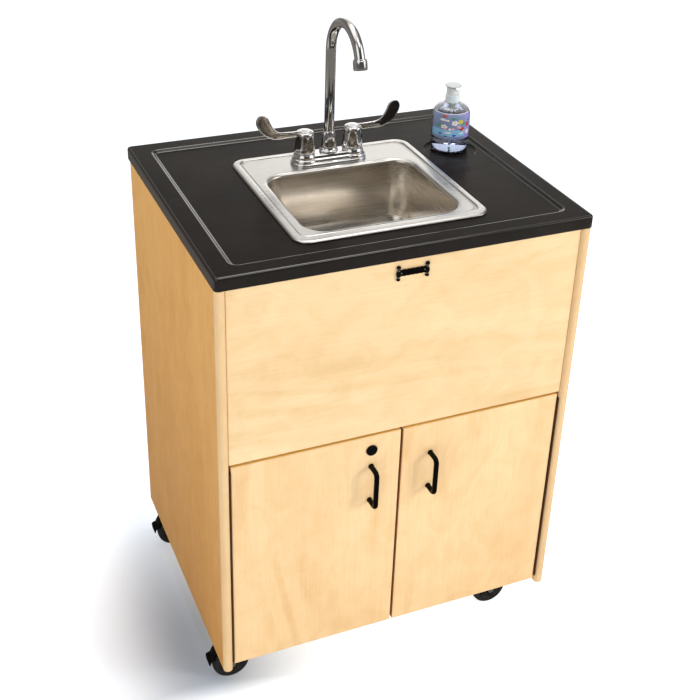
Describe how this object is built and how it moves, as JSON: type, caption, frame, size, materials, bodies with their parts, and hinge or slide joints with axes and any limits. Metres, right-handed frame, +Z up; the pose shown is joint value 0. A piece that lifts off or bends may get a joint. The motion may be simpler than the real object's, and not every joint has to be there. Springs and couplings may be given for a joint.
{
  "type": "portable handwash sink",
  "caption": "Wheeled plywood cabinet with a moulded black top, drop-in basin, gooseneck faucet with wrist blades, soap bottle, cupboard doors and water tanks inside.",
  "frame": {"origin": "on the floor, at the middle of the whole object's footprint", "axes": "+X to the right of someone facing the doors, -Y towards that person, +Z up"},
  "size_m": [0.7414, 0.622, 1.2701],
  "materials": {
    "ply_light": "clear-coated maple plywood, satin",
    "ply_side": "clear-coated maple plywood, satin",
    "black_abs": "moulded plastic, fine satin grain",
    "stainless": "brushed, satin",
    "chrome": "polished plating",
    "clear_pet": "clear, glossy",
    "white_cap": "translucent white, satin",
    "black_steel": "black powder coat, semi-gloss",
    "bronze_steel": "dark bronze lacquer, satin",
    "black_rubber": "matt",
    "tank_natural": "natural polyethylene, satin",
    "tank_grey": "grey polyethylene, satin",
    "white_shell": "white moulded jacket",
    "hose_clear": "braided clear hose",
    "hose_white": "ribbed white hose",
    "zinc": "zinc plated"
  },
  "bodies": {
    "cabinet": {"side_panel_left": "ply_side", "side_panel_right": "ply_side", "front_panel": "ply_light", "back_panel": "ply_side", "floor_panel": "ply_light", "rear_stretcher": "ply_light", "door_rail": "ply_light", "nameplate": "black_steel", "door_catch": "white_cap", "countertop": "black_abs", "sink_basin": "stainless", "drain_body": "stainless", "drain_hose": "hose_white", "faucet_body": "chrome", "supply_hose_hot": "hose_clear", "supply_hose_cold": "hose_clear", "feed_hose": "hose_clear", "hinge_left_frame": "bronze_steel", "hinge_right_frame": "bronze_steel", "fresh_tank": "tank_natural", "fresh_cap": "white_cap", "waste_tank": "tank_grey", "waste_cap": "black_abs", "water_pump": "black_abs", "water_heater": "white_shell", "power_inlet": "black_abs", "caster_plate_fl": "zinc", "caster_plate_fr": "zinc", "caster_plate_rl": "zinc", "caster_plate_rr": "zinc"},
    "spout": {"spout": "chrome", "aerator": "chrome"},
    "handle_hot": {"handle_hot": "chrome"},
    "handle_cold": {"handle_cold": "chrome"},
    "strainer": {"strainer_basket": "stainless"},
    "soap_bottle": {"soap_bottle": "clear_pet", "pump_collar": "white_cap"},
    "pump_head": {"pump_head": "white_cap"},
    "door_left": {"door_left": "ply_light", "pull_left": "black_steel", "hinge_left_door": "bronze_steel", "lock_barrel": "black_steel"},
    "lock_cam": {"lock_cam": "zinc"},
    "door_right": {"door_right": "ply_light", "pull_right": "black_steel", "hinge_right_door": "bronze_steel"},
    "swivel_fl": {"caster_fork_fl": "black_steel", "caster_axle_fl": "zinc"},
    "wheel_fl": {"caster_wheel_fl": "black_rubber"},
    "swivel_fr": {"caster_fork_fr": "black_steel", "caster_axle_fr": "zinc"},
    "wheel_fr": {"caster_wheel_fr": "black_rubber"},
    "swivel_rl": {"caster_fork_rl": "black_steel", "caster_axle_rl": "zinc"},
    "wheel_rl": {"caster_wheel_rl": "black_rubber"},
    "swivel_rr": {"caster_fork_rr": "black_steel", "caster_axle_rr": "zinc"},
    "wheel_rr": {"caster_wheel_rr": "black_rubber"},
    "brake_fl": {"brake_pedal_fl": "black_steel"},
    "brake_rl": {"brake_pedal_rl": "black_steel"}
  },
  "joints": [
    {"name": "door_left_hinge", "type": "hinge", "parent": "cabinet", "child": "door_left", "pos_m": [-0.3332, -0.28003, 0.3325], "axis": [0, 0, 1], "range_deg": [-110, 0]},
    {"name": "door_right_hinge", "type": "hinge", "parent": "cabinet", "child": "door_right", "pos_m": [0.349, -0.28003, 0.3325], "axis": [0, 0, 1], "range_deg": [0, 110]},
    {"name": "lock_turn", "type": "hinge", "parent": "door_left", "child": "lock_cam", "pos_m": [-0.0545, -0.27803, 0.541], "axis": [0, 1, 0], "range_deg": [0, 90]},
    {"name": "spout_swivel", "type": "hinge", "parent": "cabinet", "child": "spout", "pos_m": [0.0079, 0.11847, 1.02], "axis": [0, 0, 1], "range_deg": [-90, 90]},
    {"name": "hot_handle_turn", "type": "hinge", "parent": "cabinet", "child": "handle_hot", "pos_m": [-0.0429, 0.11847, 1], "axis": [0, 0, 1], "range_deg": [0, 90]},
    {"name": "cold_handle_turn", "type": "hinge", "parent": "cabinet", "child": "handle_cold", "pos_m": [0.0587, 0.11847, 1], "axis": [0, 0, 1], "range_deg": [-90, 0]},
    {"name": "strainer_lift", "type": "slide", "parent": "cabinet", "child": "strainer", "axis": [0, 0, 1], "range_m": [0, 0.1]},
    {"name": "soap_lift", "type": "slide", "parent": "cabinet", "child": "soap_bottle", "axis": [0, 0, 1], "range_m": [0, 0.12]},
    {"name": "pump_press", "type": "slide", "parent": "soap_bottle", "child": "pump_head", "axis": [0, 0, -1], "range_m": [0, 0.01], "stiffness_N_per_m": 300, "springref_m": -0.002},
    {"name": "caster_swivel_fl", "type": "hinge", "parent": "cabinet", "child": "swivel_fl", "pos_m": [-0.2901, -0.21203, 0.0876], "axis": [0, 0, 1], "continuous": true},
    {"name": "wheel_roll_fl", "type": "hinge", "parent": "swivel_fl", "child": "wheel_fl", "pos_m": [-0.3201, -0.21203, 0.0381], "axis": [0, 1, 0], "continuous": true},
    {"name": "caster_swivel_fr", "type": "hinge", "parent": "cabinet", "child": "swivel_fr", "pos_m": [0.3059, -0.21203, 0.0876], "axis": [0, 0, 1], "continuous": true},
    {"name": "wheel_roll_fr", "type": "hinge", "parent": "swivel_fr", "child": "wheel_fr", "pos_m": [0.2759, -0.21203, 0.0381], "axis": [0, 1, 0], "continuous": true},
    {"name": "caster_swivel_rl", "type": "hinge", "parent": "cabinet", "child": "swivel_rl", "pos_m": [-0.2901, 0.21747, 0.0876], "axis": [0, 0, 1], "continuous": true},
    {"name": "wheel_roll_rl", "type": "hinge", "parent": "swivel_rl", "child": "wheel_rl", "pos_m": [-0.3201, 0.21747, 0.0381], "axis": [0, 1, 0], "continuous": true},
    {"name": "caster_swivel_rr", "type": "hinge", "parent": "cabinet", "child": "swivel_rr", "pos_m": [0.3059, 0.21747, 0.0876], "axis": [0, 0, 1], "continuous": true},
    {"name": "wheel_roll_rr", "type": "hinge", "parent": "swivel_rr", "child": "wheel_rr", "pos_m": [0.2759, 0.21747, 0.0381], "axis": [0, 1, 0], "continuous": true},
    {"name": "brake_press_fl", "type": "hinge", "parent": "swivel_fl", "child": "brake_fl", "pos_m": [-0.3481, -0.21203, 0.0706], "axis": [0, 1, 0], "range_deg": [-8, 0]},
    {"name": "brake_press_rl", "type": "hinge", "parent": "swivel_rl", "child": "brake_rl", "pos_m": [-0.3481, 0.21747, 0.0706], "axis": [0, 1, 0], "range_deg": [-8, 0]}
  ]
}
